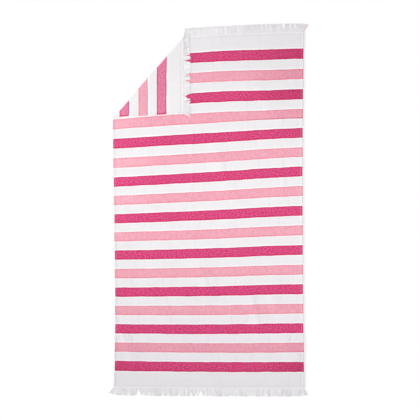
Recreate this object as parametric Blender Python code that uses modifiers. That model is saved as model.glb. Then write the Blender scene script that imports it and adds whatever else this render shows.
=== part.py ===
# A fringed beach towel lying face up on a flat surface, with its top left
# corner folded over onto the face. Metres, +Z up, +Y towards the folded end,
# origin on the surface under the towel's centre.

import math
import random

import bmesh
import bpy
from mathutils import Vector

MM = 0.001

# The towel as woven: across from the left selvedge, along from the top header.
WIDTH = 900 * MM
LENGTH = 1690 * MM
CLOTH_THICK = 2.2 * MM
HEM_WIDE = 11 * MM
HEM_STEP = 1.5 * MM
HEM_EXTRA = 0.7 * MM
HEADER_DEEP = 10 * MM
HEADER_THICK = 1.8 * MM
PART_GAP = 0.5 * MM  # between a header strip and the cloth

# Where the cloth lies: a row for each station along the towel, with the
# places of its left selvedge, its middle and its right selvedge there.
LIE_COLUMNS = ("along", "left_x", "left_y", "middle_y", "right_x", "right_y")
LIE_MM = (
    (0, -462, 789, 829, 448, 846),
    (78, -461, 710, 749, 446, 766),
    (264, -461, 521, 558, 443, 574),
    (450, -459, 336, 364, 443, 388),
    (636, -456, 154, 179, 443, 206),
    (822, -453, -20, -2, 443, 20),
    (1008, -452, -192, -182, 444, -166),
    (1194, -450, -367, -362, 445, -352),
    (1380, -450, -540, -542, 447, -536),
    (1566, -453, -714, -720, 449, -719),
    (1612, -454, -761, -765.5, 450, -765.5),
    (1690, -456, -840, -845, 450, -845),
)

# Low ridges where the cloth stands off the surface, each between two points.
RIDGE_COLUMNS = ("start_x", "start_y", "end_x", "end_y", "half_wide", "high")
RIDGES_MM = (
    (-70, -270, 0, -400, 42, 1.8),
    (175, -380, 250, -600, 46, 1.8),
    (300, -420, 436, -640, 48, 2.0),
    (-246, -480, -118, -580, 44, 1.5),
    (330, -590, 420, -735, 50, 2.0),
    (-425, -560, -360, -690, 46, 1.8),
    (-330, 60, -200, -60, 50, 1.4),
    (20, 300, 110, 60, 50, 1.4),
    (250, 560, 330, 420, 46, 1.4),
)

# The folded corner: the two ends of the fold's outer edge, and the place
# where the towel's own corner comes to lie.
FOLD_LOW = Vector((-462 * MM, 438 * MM))
FOLD_HIGH = Vector((-126 * MM, 822 * MM))
CORNER_LIES = Vector((-124 * MM, 454 * MM))
ROLL_RADIUS = 4.2 * MM
LAYER_GAP = 0.8 * MM  # under the folded corner
SETTLE_LENGTH = 70 * MM  # from the fold to where the corner lies flat
ROLL_STEPS = 8
SETTLE_STEPS = 5
CUT_SNAP = 0.02 * MM

# Mesh cells of the cloth
CELLS_ACROSS = 30
CELLS_ALONG = 50

# Fringe: locks of loose yarn, combed out of each header's outer edge
LOCK_PITCH = 7.6 * MM
LOCK_ROOT_WIDE = 3.2 * MM
LOCK_BELLY_WIDE = 4.6 * MM
LOCK_TIP_WIDE = 2.4 * MM
LOCK_LENGTH = 36.5 * MM
LOCK_LENGTH_SPREAD = 2.5 * MM
LOCK_TIP_THICK = 1.0 * MM
LOCK_BELLY_AT = 0.5
CLUMP_DRAW = 0.62  # how near together a clump's tips are, against its roots
CLUMP_LEAN = 3.2 * MM
SLOW_LEAN = 5 * MM
SLOW_LEAN_EVERY = 22
FLARED_LOCKS = 5
LOCK_CLEAR = 0.4 * MM
SPLIT_BEFORE_FOLD = 2 * MM
FRINGE_BOTTOM = {
    "name": "fringe_bottom",
    "at_top": False,
    "folded": False,
    "flares": (15 * MM, 13 * MM),
    "seed": 5,
}
FRINGE_TOP = {
    "name": "fringe_top",
    "at_top": True,
    "folded": False,
    "flares": (7 * MM, 17 * MM),
    "seed": 8,
}
FRINGE_FLAP = {
    "name": "fringe_flap",
    "at_top": True,
    "folded": True,
    "flares": (2 * MM, 14 * MM),
    "seed": 3,
}

COTTON = {"name": "towel_cotton", "color": (0.83, 0.45, 0.56, 1), "roughness": 0.92}
YARN = {"name": "fringe_yarn", "color": (0.86, 0.84, 0.85, 1), "roughness": 0.9}


def clear_scene():
    for old in list(bpy.data.objects):
        bpy.data.objects.remove(old, do_unlink=True)


def make_material(look):
    material = bpy.data.materials.new(look["name"])
    material.use_nodes = True
    shader = material.node_tree.nodes["Principled BSDF"]
    shader.inputs["Base Color"].default_value = look["color"]
    shader.inputs["Roughness"].default_value = look["roughness"]
    shader.inputs["Metallic"].default_value = 0
    return material


def smooth(share):
    share = min(1, max(0, share))
    return share * share * (3 - 2 * share)


def station(along):
    """The lie of the cloth at a distance from the top header, by a smooth
    curve through the rows of LIE_MM."""
    rows = [[value * MM for value in row] for row in LIE_MM]
    here = 0
    while here < len(rows) - 2 and along > rows[here + 1][0]:
        here += 1
    before, low, high = rows[max(here - 1, 0)], rows[here], rows[here + 1]
    after = rows[min(here + 2, len(rows) - 1)]
    step = high[0] - low[0]
    t = (along - low[0]) / step
    values = {}
    for column, name in enumerate(LIE_COLUMNS[1:], 1):
        slope_in = (high[column] - before[column]) / (high[0] - before[0]) * step
        slope_out = (after[column] - low[column]) / (after[0] - low[0]) * step
        values[name] = (
            (2 * t**3 - 3 * t**2 + 1) * low[column]
            + (t**3 - 2 * t**2 + t) * slope_in
            + (3 * t**2 - 2 * t**3) * high[column]
            + (t**3 - t**2) * slope_out
        )
    return values


def laid_flat(across, along):
    """Where a point of the cloth lies if no corner is folded."""
    lie = station(along)
    a = across / WIDTH
    x = lie["left_x"] * (1 - a) + lie["right_x"] * a
    y = (
        lie["left_y"] * (1 - a) * (1 - 2 * a)
        + lie["middle_y"] * 4 * a * (1 - a)
        + lie["right_y"] * a * (2 * a - 1)
    )
    return Vector((x, y))


def ridge_height(place):
    height = 0
    for row in RIDGES_MM:
        ridge = {name: value * MM for name, value in zip(RIDGE_COLUMNS, row)}
        start = Vector((ridge["start_x"], ridge["start_y"]))
        run = Vector((ridge["end_x"], ridge["end_y"])) - start
        share = min(1, max(0, (place - start).dot(run) / run.length_squared))
        aside = (place - start - run * share).length
        crest = 0.5 + 0.5 * math.cos(math.pi * min(1, aside / ridge["half_wide"]))
        height += ridge["high"] * crest
    return height


class Fold:
    """The fold's line on the surface, and how the corner stretches and
    shears so that it comes to lie on CORNER_LIES."""

    direction = (FOLD_HIGH - FOLD_LOW).normalized()
    outward = Vector((-direction.y, direction.x))
    start = FOLD_LOW - outward * ROLL_RADIUS
    arc = math.pi * ROLL_RADIUS
    corner = laid_flat(0, 0) - start
    lies = CORNER_LIES - start
    stretch = -lies.dot(outward) / (corner.dot(outward) - arc)
    shear = (lies - corner).dot(direction) / (corner.dot(outward) - arc)


def fold_over(place, thick):
    """The reverse side's point for a place on the flat cloth."""
    offset = place - Fold.start
    past = offset.dot(Fold.outward)
    along = offset.dot(Fold.direction)
    if past <= 0:
        return place.to_3d() + Vector((0, 0, ridge_height(place)))
    if past < Fold.arc:
        turn = past / ROLL_RADIUS
        edge = Fold.start + Fold.direction * along
        over = edge + Fold.outward * ROLL_RADIUS * math.sin(turn)
        return over.to_3d() + Vector((0, 0, ROLL_RADIUS * (1 - math.cos(turn))))
    beyond = past - Fold.arc
    over = Fold.start + Fold.direction * (along + Fold.shear * beyond)
    over -= Fold.outward * Fold.stretch * beyond
    flat = ridge_height(over) + CLOTH_THICK + LAYER_GAP + thick
    settled = smooth(beyond / SETTLE_LENGTH)
    height = 2 * ROLL_RADIUS * (1 - settled) + flat * settled
    return over.to_3d() + Vector((0, 0, height))


def roll_lines():
    """Distances past the fold's line at which the rolled part gets an edge."""
    return [Fold.arc * step / ROLL_STEPS for step in range(ROLL_STEPS + 1)]


def settle_lines():
    """The same where the corner comes down from the fold onto the face."""
    step = SETTLE_LENGTH / SETTLE_STEPS
    return [Fold.arc + step * (number + 1) for number in range(SETTLE_STEPS)]


def crease_mesh(bm, lines):
    """Cuts the flat mesh along the fold, so that it can turn over there."""
    for past in lines:
        point = Fold.start + Fold.outward * past
        bmesh.ops.bisect_plane(
            bm,
            geom=bm.verts[:] + bm.edges[:] + bm.faces[:],
            dist=CUT_SNAP,
            plane_co=point.to_3d(),
            plane_no=Fold.outward.to_3d(),
        )


def even_places(first, last, cells):
    return [first + (last - first) * step / cells for step in range(cells + 1)]


def grid_mesh(across_places, along_places):
    """A flat open grid, face up, with its lines at the given places. Its
    vertices keep how far across the towel they are."""
    bm = bmesh.new()
    columns, rows = len(across_places) - 1, len(along_places) - 1
    bmesh.ops.create_grid(bm, x_segments=columns, y_segments=rows, size=0.5)
    across_layer = bm.verts.layers.float.new("across")
    for vert in bm.verts:
        column = round((vert.co.x + 0.5) * columns)
        row = round((0.5 - vert.co.y) * rows)
        vert[across_layer] = across_places[column]
        vert.co = laid_flat(across_places[column], along_places[row]).to_3d()
    return bm


def add_part(name, bm, material, collection, thick):
    """Makes the part's object from its open reverse side and gives the
    sheet its thickness, towards the face."""
    bmesh.ops.triangulate(bm, faces=bm.faces[:])
    mesh = bpy.data.meshes.new(name)
    bm.to_mesh(mesh)
    bm.free()
    mesh.materials.append(material)
    part = bpy.data.objects.new(name, mesh)
    collection.objects.link(part)
    part.vertex_groups.new(name="fullness")
    sheet = part.modifiers.new("thickness", "SOLIDIFY")
    sheet.thickness = thick
    sheet.offset = 1
    sheet.vertex_group = "fullness"


def make_cloth(material, collection):
    """The one sheet between the headers, with its hems and folded corner."""
    hem = [0, HEM_WIDE, HEM_WIDE + HEM_STEP]
    inside = even_places(hem[-1], WIDTH - hem[-1], CELLS_ACROSS)
    across_places = hem[:-1] + inside + [WIDTH - place for place in hem[-2::-1]]
    edge = HEADER_DEEP + PART_GAP
    along_places = even_places(edge, LENGTH - edge, CELLS_ALONG)
    bm = grid_mesh(across_places, along_places)
    crease_mesh(bm, roll_lines() + settle_lines())
    fullness = bm.verts.layers.deform.verify()
    across_layer = bm.verts.layers.float["across"]
    full_thick = CLOTH_THICK + HEM_EXTRA
    for vert in bm.verts:
        from_edge = min(vert[across_layer], WIDTH - vert[across_layer])
        in_hem = from_edge < HEM_WIDE + HEM_STEP / 2
        thick = full_thick if in_hem else CLOTH_THICK
        vert[fullness][0] = thick / full_thick
        vert.co = fold_over(vert.co.to_2d(), thick)
    add_part("towel_cloth", bm, material, collection, full_thick)


def header_crossing(past_wanted):
    """How far across the top header lies a given distance past the fold."""
    low, high = 0, WIDTH
    for _ in range(40):
        middle = (low + high) / 2
        past = (laid_flat(middle, 0) - Fold.start).dot(Fold.outward)
        low, high = (middle, high) if past > past_wanted else (low, middle)
    return low


def lock_roots(first, last):
    count = int((last - first) / LOCK_PITCH)
    pitch = (last - first) / count
    return [first + pitch * (number + 0.5) for number in range(count)]


def combed_tips(roots, dice, flare_first, flare_last):
    """Places of the locks' tips along the fringe: neighbours draw together
    in small clumps, lean with them, and spread at the fringe's ends."""
    tips = []
    while len(tips) < len(roots):
        clump = roots[len(tips) : len(tips) + dice.randint(2, 4)]
        centre = sum(clump) / len(clump)
        slow = SLOW_LEAN * math.sin(2 * math.pi * len(tips) / SLOW_LEAN_EVERY)
        lean = slow + dice.uniform(-CLUMP_LEAN, CLUMP_LEAN)
        tips += [centre + lean + (root - centre) * CLUMP_DRAW for root in clump]
    for number in range(FLARED_LOCKS):
        share = (1 - number / FLARED_LOCKS) ** 2
        tips[number] = min(tips[number], roots[number]) - flare_first * share
        tips[-1 - number] = max(tips[-1 - number], roots[-1 - number]) + flare_last * share
    apart = LOCK_TIP_WIDE + LOCK_CLEAR
    for number in range(1, len(tips)):
        tips[number] = max(tips[number], tips[number - 1] + apart)
    return tips


def middle_of(edge):
    return ((edge.verts[0].co + edge.verts[1].co) / 2).to_2d()


def draw_out(bm, edge, place, wide):
    """Extrudes a lock's edge to its next place and width."""
    made = bmesh.ops.extrude_edge_only(bm, edges=[edge])["geom"]
    ends = [item for item in made if isinstance(item, bmesh.types.BMVert)]
    ends.sort(key=lambda vert: vert.co.x)
    for side, vert in zip((-1, 1), ends):
        vert.co = (place + Vector((side * wide / 2, 0))).to_3d()
    return next(link for link in ends[0].link_edges if ends[1] in link.verts)


def draw_locks(bm, plan, roots, outer, side):
    """Draws each lock out of its root on the strip's outer edge, and gives
    back the ends of the tips."""
    dice = random.Random(plan["seed"])
    tips = combed_tips(roots, dice, *plan["flares"])
    rim = [edge for edge in bm.edges if edge.is_boundary]
    tip_ends = []
    for root, tip in zip(roots, tips):
        length = LOCK_LENGTH + dice.uniform(-1, 1) * LOCK_LENGTH_SPREAD
        start = laid_flat(root, outer)
        edge = min(rim, key=lambda item: (middle_of(item) - start).length)
        for share, wide in ((LOCK_BELLY_AT, LOCK_BELLY_WIDE), (1, LOCK_TIP_WIDE)):
            place = laid_flat(root + (tip - root) * share, outer)
            place.y += side * length * share
            edge = draw_out(bm, edge, place, wide)
        tip_ends += edge.verts
    return tip_ends


def make_fringe(plan, strip_span, locks_span, material, collection):
    """A header strip across part of the towel, with the locks that stand out
    from its outer edge."""
    roots = lock_roots(*locks_span)
    halves = (-LOCK_ROOT_WIDE / 2, LOCK_ROOT_WIDE / 2)
    root_sides = [root + half for root in roots for half in halves]
    across_places = [strip_span[0]] + root_sides + [strip_span[1]]
    side, outer = (1, 0) if plan["at_top"] else (-1, LENGTH)
    bm = grid_mesh(across_places, sorted((outer, outer + side * HEADER_DEEP)))
    fullness = bm.verts.layers.deform.verify()
    if plan["folded"]:
        crease_mesh(bm, roll_lines())
    tip_ends = draw_locks(bm, plan, roots, outer, side)
    for vert in bm.verts:
        vert[fullness][0] = 1
        if plan["folded"]:
            vert.co = fold_over(vert.co.to_2d(), HEADER_THICK)
    for vert in tip_ends:
        vert[fullness][0] = LOCK_TIP_THICK / HEADER_THICK
    add_part(plan["name"], bm, material, collection, HEADER_THICK)


def make_fringes(material, collection):
    """The bottom fringe, and the top one in the two parts that the fold
    makes of it."""
    split = header_crossing(-SPLIT_BEFORE_FOLD)
    last_lock = header_crossing(Fold.arc)
    make_fringe(FRINGE_BOTTOM, (0, WIDTH), (0, WIDTH), material, collection)
    make_fringe(FRINGE_TOP, (split, WIDTH), (split, WIDTH), material, collection)
    flap_span = (0, split - PART_GAP)
    make_fringe(FRINGE_FLAP, flap_span, (0, last_lock), material, collection)


def main():
    clear_scene()
    collection = bpy.data.collections.new("beach_towel")
    bpy.context.scene.collection.children.link(collection)
    make_cloth(make_material(COTTON), collection)
    make_fringes(make_material(YARN), collection)


main()
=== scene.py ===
import math
import random

import bpy
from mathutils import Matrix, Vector, noise


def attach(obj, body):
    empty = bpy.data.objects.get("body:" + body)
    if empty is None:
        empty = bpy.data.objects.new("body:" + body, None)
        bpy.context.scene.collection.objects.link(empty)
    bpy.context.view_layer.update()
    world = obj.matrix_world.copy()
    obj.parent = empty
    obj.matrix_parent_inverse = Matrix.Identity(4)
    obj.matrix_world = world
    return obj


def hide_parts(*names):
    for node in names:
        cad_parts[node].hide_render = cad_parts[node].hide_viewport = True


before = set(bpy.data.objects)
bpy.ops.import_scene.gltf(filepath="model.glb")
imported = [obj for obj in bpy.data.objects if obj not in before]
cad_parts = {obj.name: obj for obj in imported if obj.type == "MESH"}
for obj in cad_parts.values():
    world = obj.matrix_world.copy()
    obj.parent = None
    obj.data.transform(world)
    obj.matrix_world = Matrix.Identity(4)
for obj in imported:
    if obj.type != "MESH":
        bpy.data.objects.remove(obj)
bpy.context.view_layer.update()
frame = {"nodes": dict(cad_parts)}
print("frame loaded:", ", ".join(frame["nodes"]))

mm = 0.001

# The towel as woven: across from its left selvedge, along from its top header
towel = {
    "width": 900 * mm,
    "length": 1690 * mm,
    "thick": 2.2 * mm,
    "headerDeep": 10 * mm,
    "headerThick": 1.8 * mm,
    "hemWide": 11 * mm,
    "hemExtra": 0.7 * mm,
    "seamIn": 9.4 * mm,  # from the selvedge to the hem's row of stitches
    "plainEnd": 77.75 * mm,  # from the header's outer edge to the first stripe
    "stripe": 46.5 * mm,
    "stripeSpread": 0.35 * mm,  # a coloured stripe is this much wider at each border
    "bands": 33,  # stripes and the white bands between them
    # the mesh's rows and columns: near the edges in mm, beside a border, between
    "hemColumns": (0, 0.4, 1.1, 2.4, 5, 7.6, 8.6, 9.4, 10.2, 11, 12),
    "headerRows": (0, 0.4, 1.1, 2.4, 5, 7.6, 9.1, 10, 10.9, 12.4),
    "besideBorder": 0.9 * mm,
    "cellsAcross": 206,
    "cellsPerBand": 4,
    "cellsPlainEnd": 7,
}

# Where the cloth lies: a row for each station along it, with the places of its
# left selvedge, its middle and its right selvedge there
lieColumns = ("along", "leftX", "leftY", "middleY", "rightX", "rightY")
lieRows = (
    (0, -462, 789, 829, 449, 846),
    (78, -461, 710, 749, 448, 766),
    (264, -461, 521, 558, 445.4, 574),
    (450, -461, 336, 364, 443.7, 388),
    (636, -458, 154, 179, 443, 206),
    (822, -455, -20, -2, 443, 20),
    (1008, -453.4, -192, -182, 444, -166),
    (1194, -451.2, -367, -362, 445, -352),
    (1380, -450.8, -540, -542, 447, -536),
    (1566, -453, -714, -720, 449, -719),
    (1612, -454, -761, -765.5, 450, -765.5),
    (1690, -456, -840, -845, 450, -845),
)

# Soft ridges between two points on the surface, the broad ones first
ridgeColumns = ("startX", "startY", "endX", "endY", "halfWide", "high")
ridgeRows = (
    (-70, -270, 0, -400, 42, 1.8),
    (175, -380, 250, -600, 52, 1.3),
    (300, -420, 436, -640, 54, 1.5),
    (-246, -480, -118, -580, 44, 1.5),
    (330, -590, 420, -735, 50, 2.0),
    (-425, -560, -360, -690, 46, 1.8),
    (-330, 60, -200, -60, 50, 1.4),
    (20, 300, 110, 60, 50, 1.4),
    (250, 560, 330, 420, 46, 1.4),
    (-50, -240, -14, -340, 16, 1.1),
    (-24, -250, 22, -352, 15, 0.9),
    (196, -400, 236, -560, 18, 1.1),
    (150, -560, 205, -640, 15, 0.8),
    (290, -400, 330, -500, 16, 0.9),
    (360, -600, 430, -700, 18, 1.2),
    (-236, -500, -150, -560, 14, 0.8),
    (-420, -590, -385, -650, 16, 0.9),
    (-82, 380, -80, 60, 10, 0.7),
    (-80, 20, -76, -230, 10, 0.6),
    (6, 800, 10, 560, 9, 0.6),
    (60, 806, 62, 690, 9, 0.5),
    (170, 600, 172, 300, 10, 0.6),
    (340, 220, 352, 60, 12, 0.7),
    (-300, 300, -280, 160, 12, 0.6),
    (-180, -120, -100, -190, 14, 0.7),
    (-330, -330, -260, -420, 15, 0.8),
    (80, -700, 190, -770, 16, 0.9),
    (230, 424, 446, 435, 7, 0.7),
)

# Creases that show on the folded corner alone
flapRidgeRows = (
    (-196, 684, -128, 680, 9, 0.9),
    (-200, 606, -128, 598, 9, 0.9),
    (-330, 520, -250, 560, 16, 0.8),
)

# Puckers in the white bands: for each band the place across at its top, how far
# the pucker leans by the band's foot, and how strong it is
puckers = {
    -1: ((520, -10, 3), (600, 0, 1), (690, 4, 2), (850, 12, 1)),
    1: ((390, 4, 1), (455, 0, 1), (515, 0, 1), (575, 2, 1), (645, 0, 3), (700, 0, 1),
        (745, 4, 1), (792, 0, 2), (866, 16, 3)),
    3: ((430, -2, 1), (462, 0, 2), (535, 0, 1), (596, 0, 2), (650, 2, 1), (700, 0, 1),
        (788, 0, 1), (868, 0, 2)),
    5: ((400, -10, 2), (460, -4, 1), (540, 0, 1), (640, 0, 1), (750, 2, 1), (838, 4, 1)),
    7: ((50, 4, 1), (122, 0, 2), (142, 0, 1), (193, 0, 3), (232, 4, 1), (300, 0, 1),
        (352, 0, 1), (428, 2, 1), (480, 0, 1), (540, 0, 1), (617, 0, 2), (682, -13, 4),
        (762, -12, 2), (812, -13, 4), (872, -4, 2)),
    9: ((44, 0, 1), (96, 0, 2), (150, 0, 1), (190, 2, 2), (262, 0, 1), (345, 4, 2),
        (430, 0, 2), (492, 0, 1), (545, 0, 3), (622, 2, 2), (684, -6, 3), (755, -6, 2),
        (802, -6, 2), (846, 24, 3)),
    11: ((60, 0, 1), (105, 0, 2), (196, -6, 3), (260, 0, 1), (328, 4, 2), (370, 0, 1),
         (440, -2, 3), (532, 4, 4), (582, 0, 1), (640, 8, 2), (694, 0, 3), (742, 0, 1),
         (812, 2, 4)),
    13: ((66, -5, 2), (115, 0, 2), (164, -6, 2), (204, -5, 1), (290, 0, 2), (374, 5, 3),
         (430, 7, 4), (482, 0, 1), (540, 0, 2), (584, 0, 2), (680, -7, 2), (752, 6, 1),
         (820, 8, 4)),
    15: ((82, -20, 4), (150, -12, 4), (216, -16, 2), (290, 0, 2), (352, -4, 4), (400, 0, 1),
         (441, 0, 2), (484, 0, 1), (548, 2, 3), (627, 2, 2), (700, 0, 1), (747, -6, 4),
         (838, -2, 4), (882, 0, 1)),
    17: ((30, 0, 1), (75, -8, 2), (158, -18, 4), (229, 0, 3), (285, -8, 2), (325, 2, 2),
         (410, 2, 2), (471, -14, 2), (512, 4, 2), (579, 0, 2), (620, 0, 1), (696, -14, 3),
         (786, 6, 4)),
    19: ((70, 5, 3), (112, 0, 2), (180, 2, 2), (230, 0, 2), (266, 5, 2), (306, 0, 1),
         (408, 4, 3), (494, 6, 4), (566, 0, 2), (640, 0, 1), (710, 0, 1), (790, 4, 1)),
    21: ((28, 2, 1), (110, -5, 3), (152, 0, 2), (240, 0, 1), (300, 0, 1), (383, 0, 2),
         (440, -2, 2), (490, 5, 3), (600, 0, 2), (700, 0, 2), (770, 10, 3), (820, 5, 2)),
    23: ((88, 4, 3), (112, 0, 2), (165, 4, 2), (229, 12, 4), (330, 0, 1), (385, 18, 4),
         (440, 4, 1), (488, 14, 4), (542, 0, 1), (588, -12, 4), (660, 0, 1), (730, 0, 2),
         (807, -14, 4), (856, -4, 2)),
    25: ((34, -4, 1), (80, 4, 2), (120, 0, 2), (163, 4, 2), (247, 12, 4), (300, 18, 2),
         (384, 18, 3), (450, 0, 2), (522, 18, 4), (600, 0, 1), (682, -16, 3), (718, 0, 1),
         (803, -18, 4), (888, -28, 4)),
    27: ((18, 10, 4), (116, 8, 3), (188, 4, 2), (272, 4, 4), (330, 0, 1), (376, 20, 3),
         (455, 12, 3), (558, 4, 4), (640, -14, 4), (690, 0, 1), (740, -6, 2), (762, 0, 2),
         (882, -24, 4)),
    29: ((26, 4, 4), (84, 8, 4), (163, 16, 4), (222, 0, 1), (276, 10, 3), (326, 6, 2),
         (384, 0, 2), (438, 18, 5), (510, 0, 1), (572, 0, 2), (694, -18, 4), (742, -6, 2),
         (846, -16, 5), (874, -12, 3)),
    31: ((3, 14, 4), (50, 4, 2), (88, 4, 3), (110, 0, 2), (155, 0, 2), (200, 26, 4),
         (246, 10, 3), (300, 16, 3), (366, 2, 2), (420, 8, 1), (466, 8, 2), (500, 0, 3),
         (574, 12, 3), (610, 4, 1), (662, -14, 4), (748, -10, 2), (796, -12, 3), (892, -30, 4)),
    33: ((285, 48, 2), (400, -16, 1), (494, 26, 3), (640, -18, 1), (720, 0, 1), (836, -14, 2)),
}

fold = {
    "low": Vector((-461 * mm, 437 * mm)),  # the fold's outer edge at the selvedge
    "high": Vector((-124 * mm, 821 * mm)),  # and at the header
    "cornerLies": Vector((-124 * mm, 454 * mm)),
    "bowReach": 50 * mm,  # how far from the fold the cloth follows its bow
    "leanAt": -200 * mm,  # near the fold the corner's first stripe leans right
    "leanWide": 60 * mm,
    "leanFrom": 590 * mm,
    "leanOver": 130 * mm,
    "lean": 3.3 * mm,
    "edgeReach": 70 * mm,  # how far from the selvedge edgeRows still tells
    "rollRadius": 4.2 * mm,
    "layerGap": 0.8 * mm,
    "settle": 110 * mm,
    "rollCells": 9,
    "settleCells": 6,
}

# How far the fold bows outward, by the way along it, in mm
bowRows = (
    (0, -1.0), (40, -4.0), (62, -5.6), (105, -5.5), (218, -2.8), (350, -3.3), (511, -2.2),
)

# How far to the right the folded corner's stripes lie, by their place, in mm
slackRows = (
    (-500, 2.4), (-380, 2.4), (-337, 1.8), (-292, 0.2), (-249, -3.2), (-205, -3.9),
    (-160, -1.3), (-124, 0), (100, 0),
)

# How far up the folded corner's lower edge is moved, by its place, in mm
edgeRows = (
    (-455, 0), (-405, -2.4), (-330, -5), (-240, -4.6), (-200, -3.5), (-150, 0),
)


def smooth(share):
    share = min(1, max(0, share))
    return share * share * (3 - 2 * share)


def bell(value, centre, width):
    return math.exp(-(((value - centre) / width) ** 2))


def between(rows, place):
    # the value for a place, from rows of a place and its value
    if place <= rows[0][0]:
        return rows[0][1]
    for (low, first), (high, last) in zip(rows, rows[1:]):
        if place < high:
            return first + (last - first) * (place - low) / (high - low)
    return rows[-1][1]


# Right of its middle the cloth lies lower or higher than an even curve: for
# places along it, how much higher. A pressed crease parts the two.
bowedRows = (
    (0, 0), (78, -2.4), (200, -3.6), (348, -3.4), (400, 1.9), (640, 2.2), (1290, 1.9),
    (1410, 0.4), (1460, 0),
)
bowed = {"middle": 0.82, "wide": 0.17}  # as shares of the width

# Coloured stripes draw the selvedges in, the right one by a smaller share
drawnIn = {
    "strong": 4.6 * mm,
    "light": 3.0 * mm,
    "rightShare": 0.6,
    "reach": 45 * mm,
    "blur": 13 * mm,
}


def stripeDraw(along):
    inBand = (along - towel["plainEnd"]) / towel["stripe"]
    inBand = min(max(inBand, -0.9), towel["bands"] + 0.9)
    nearest = min(max(2 * math.floor((inBand + 0.5) / 2), 0), towel["bands"] - 1)
    outside = max(nearest - inBand, inBand - nearest - 1, 0) * towel["stripe"]
    draw = drawnIn["light"] if nearest % 4 else drawnIn["strong"]
    return draw * smooth(1 - outside / drawnIn["blur"])


def station(along):
    here = 0
    while here < len(lieRows) - 2 and along > lieRows[here + 1][0] * mm:
        here += 1
    before, low, high = lieRows[max(here - 1, 0)], lieRows[here], lieRows[here + 1]
    after = lieRows[min(here + 2, len(lieRows) - 1)]
    step = high[0] - low[0]
    t = (along / mm - low[0]) / step
    values = {}
    for column, name in enumerate(lieColumns[1:], 1):
        slopeIn = (high[column] - before[column]) / (high[0] - before[0]) * step
        slopeOut = (after[column] - low[column]) / (after[0] - low[0]) * step
        values[name] = mm * (
            (2 * t**3 - 3 * t**2 + 1) * low[column]
            + (t**3 - 2 * t**2 + t) * slopeIn
            + (3 * t**2 - 2 * t**3) * high[column]
            + (t**3 - t**2) * slopeOut
        )
    return values


def laidFlat(across, along):
    # where a point of the cloth lies while no corner is folded
    lie = station(along)
    a = across / towel["width"]
    x = lie["leftX"] * (1 - a) + lie["rightX"] * a
    fromSide = min(across, towel["width"] - across)
    if fromSide < drawnIn["reach"]:
        draw = stripeDraw(along) * (1 - fromSide / drawnIn["reach"]) ** 2
        x += draw if a < 0.5 else -draw * drawnIn["rightShare"]
    y = (
        lie["leftY"] * (1 - a) * (1 - 2 * a)
        + lie["middleY"] * 4 * a * (1 - a)
        + lie["rightY"] * a * (2 * a - 1)
    )
    y += between(bowedRows, along / mm) * mm * bell(a, bowed["middle"], bowed["wide"])
    return Vector((x, y))


def readRidges(rows):
    ridges = []
    for row in rows:
        named = {name: value * mm for name, value in zip(ridgeColumns, row)}
        start = Vector((named["startX"], named["startY"]))
        run = Vector((named["endX"], named["endY"])) - start
        ridges.append((start, run, named["halfWide"], named["high"]))
    return ridges


clothRidges = readRidges(ridgeRows)
flapRidges = readRidges(flapRidgeRows)
ripple = {"high": 0.35 * mm, "size": 60 * mm}


def ridgeHeight(place, ridges):
    height = 0
    for start, run, halfWide, high in ridges:
        offset = place - start
        share = min(1, max(0, offset.dot(run) / run.length_squared))
        aside = (offset - run * share).length
        if aside < halfWide:
            height += high * (0.5 + 0.5 * math.cos(math.pi * aside / halfWide))
    return height


def clothHeight(place):
    # how far the underside stands off the surface
    wave = noise.noise(Vector((place.x, place.y, 0)) / ripple["size"])
    return ridgeHeight(place, clothRidges) + ripple["high"] * max(0, wave)


foldDirection = (fold["high"] - fold["low"]).normalized()
foldOutward = Vector((-foldDirection.y, foldDirection.x))
foldStart = fold["low"] - foldOutward * fold["rollRadius"]
rollArc = math.pi * fold["rollRadius"]
cornerFlat = laidFlat(0, 0) - foldStart
cornerLies = fold["cornerLies"] - foldStart
cornerPast = cornerFlat.dot(foldOutward) - rollArc
foldStretch = -cornerLies.dot(foldOutward) / cornerPast
foldShear = (cornerLies - cornerFlat).dot(foldDirection) / cornerPast


def pastFold(place):
    return (place - foldStart).dot(foldOutward)


def bowAt(along, distance):
    # the fold's outward bow, for a place so far along it and so far from it
    nearness = smooth(1 - distance / fold["bowReach"])
    return between(bowRows, along / mm) * mm * nearness


def slackAt(place):
    shift = between(slackRows, place.x / mm)
    near = smooth((place.y - fold["leanFrom"]) / fold["leanOver"])
    return shift * mm + fold["lean"] * near * bell(place.x, fold["leanAt"], fold["leanWide"])


def cornerPull(over, place):
    # how far the folded corner is pulled over from where the fold alone puts it
    fromSelvedge = place.x - fold["low"].x
    near = smooth(1 - fromSelvedge / fold["edgeReach"])
    down = between(edgeRows, over.x / mm) * mm * near
    return Vector((slackAt(over + Vector((0, down))), down))


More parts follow.
